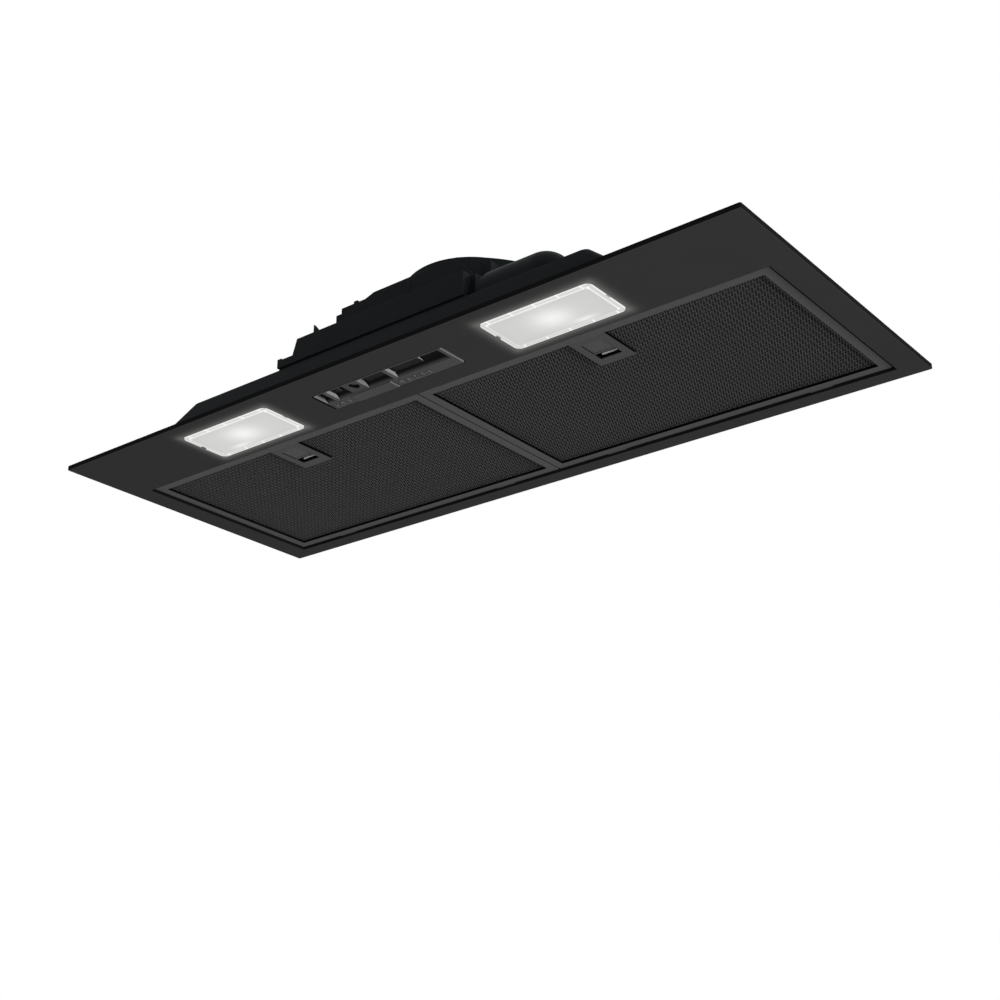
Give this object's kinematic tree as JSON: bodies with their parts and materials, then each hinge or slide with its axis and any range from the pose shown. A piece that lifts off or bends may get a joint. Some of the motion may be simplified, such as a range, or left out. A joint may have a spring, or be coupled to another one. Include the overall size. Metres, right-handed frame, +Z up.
{
  "type": "range hood",
  "caption": "Built-in range hood with a flat black fascia plate, swing-down grease filters, clip-in lamps, slide controls and a drum fan under a round duct collar",
  "frame": {"origin": "centre of the fascia plate in the plane of its rim, which is the cabinet's underside", "axes": "+X to the right as the cook faces the hood, +Y to the wall, +Z up to the duct"},
  "size_m": [0.7, 0.295, 0.129],
  "materials": {
    "black_steel": "fine matte black powder coat",
    "body_steel": "satin black paint on pressed steel",
    "black_plastic": "moulded black, lightly grained",
    "impeller_plastic": "moulded dark grey",
    "bright_steel": "ground",
    "motor_steel": "grey lacquer",
    "capacitor_case": "plain white",
    "terminal_plastic": "plain grey",
    "control_plastic": "satin black",
    "pilot_plastic": "smoked, glossy",
    "screw_steel": "black zinc",
    "lamp_tray": "matte white",
    "lamp_lens": "frosted translucent",
    "lamp_board": "white board with a yellow light source",
    "filter_metal": "matte black anodised",
    "filter_mesh": "black coated expanded metal",
    "latch_plastic": "moulded black",
    "catch_steel": "zinc plated"
  },
  "bodies": {
    "hood": {"fascia_plate": "black_steel", "air_chamber": "body_steel", "front_housing": "black_plastic", "fan_base": "black_plastic", "fan_housing": "black_plastic", "inlet_ring": "black_plastic", "motor": "motor_steel", "motor_bracket": "body_steel", "outlet_collar": "black_plastic", "electrics_box": "black_plastic", "capacitor": "capacitor_case", "terminal_block": "terminal_plastic", "cable_gland": "black_plastic", "control_bezel": "control_plastic", "pilot_lens": "pilot_plastic", "switch_block": "terminal_plastic", "drum_screws": "screw_steel", "collar_screws": "screw_steel", "bracket_screws": "screw_steel", "lamp_housing_left": "lamp_tray", "lamp_lens_left": "lamp_lens", "led_module_left": "lamp_board", "catch_bracket_left": "catch_steel", "lamp_housing_right": "lamp_tray", "lamp_lens_right": "lamp_lens", "led_module_right": "lamp_board", "catch_bracket_right": "catch_steel"},
    "filter_left": {"filter_frame_left": "filter_metal", "filter_mesh_left": "filter_mesh", "latch_housing_left": "latch_plastic", "latch_spring_left": "bright_steel"},
    "filter_right": {"filter_frame_right": "filter_metal", "filter_mesh_right": "filter_mesh", "latch_housing_right": "latch_plastic", "latch_spring_right": "bright_steel"},
    "latch_left": {"latch_button_left": "latch_plastic"},
    "latch_right": {"latch_button_right": "latch_plastic"},
    "light_control": {"light_slider": "control_plastic"},
    "speed_control": {"speed_slider": "control_plastic"},
    "fan_wheel": {"impeller": "impeller_plastic", "motor_shaft": "bright_steel"},
    "flap_front": {"damper_flap_front": "black_plastic"},
    "flap_rear": {"damper_flap_rear": "black_plastic"},
    "catch_left": {"side_catch_left": "catch_steel"},
    "catch_right": {"side_catch_right": "catch_steel"}
  },
  "joints": [
    {"name": "filter_left_hinge", "type": "hinge", "parent": "hood", "child": "filter_left", "pos_m": [-0.16275, 0.1287, -0.0019], "axis": [1, 0, 0], "range_deg": [0, 65]},
    {"name": "latch_left_slide", "type": "slide", "parent": "filter_left", "child": "latch_left", "axis": [0, 1, 0], "range_m": [0, 0.006], "stiffness_N_per_m": 300, "springref_m": -0.005, "deforming": ["latch_spring_left"]},
    {"name": "filter_right_hinge", "type": "hinge", "parent": "hood", "child": "filter_right", "pos_m": [0.16275, 0.1287, -0.0019], "axis": [1, 0, 0], "range_deg": [0, 65]},
    {"name": "latch_right_slide", "type": "slide", "parent": "filter_right", "child": "latch_right", "axis": [0, 1, 0], "range_m": [0, 0.006], "stiffness_N_per_m": 300, "springref_m": -0.005, "deforming": ["latch_spring_right"]},
    {"name": "light_switch_slide", "type": "slide", "parent": "hood", "child": "light_control", "axis": [1, 0, 0], "range_m": [0, 0.008]},
    {"name": "fan_speed_slide", "type": "slide", "parent": "hood", "child": "speed_control", "axis": [1, 0, 0], "range_m": [0, 0.0231]},
    {"name": "fan_spin", "type": "hinge", "parent": "hood", "child": "fan_wheel", "pos_m": [0, 0.002, 0.076], "axis": [0, 0, 1], "continuous": true},
    {"name": "flap_front_hinge", "type": "hinge", "parent": "hood", "child": "flap_front", "pos_m": [0, -0.0015, 0.1133], "axis": [-1, 0, 0], "range_deg": [0, 80]},
    {"name": "flap_rear_hinge", "type": "hinge", "parent": "hood", "child": "flap_rear", "pos_m": [0, 0.0055, 0.1133], "axis": [1, 0, 0], "range_deg": [0, 80]},
    {"name": "catch_left_hinge", "type": "hinge", "parent": "hood", "child": "catch_left", "pos_m": [-0.31412, 0.03, 0.02824], "axis": [0, -1, 0], "range_deg": [0, 15], "stiffness_Nm_per_rad": 0.3, "springref_deg": -14.32},
    {"name": "catch_right_hinge", "type": "hinge", "parent": "hood", "child": "catch_right", "pos_m": [0.31412, 0.03, 0.02824], "axis": [0, 1, 0], "range_deg": [0, 15], "stiffness_Nm_per_rad": 0.3, "springref_deg": -14.32}
  ]
}
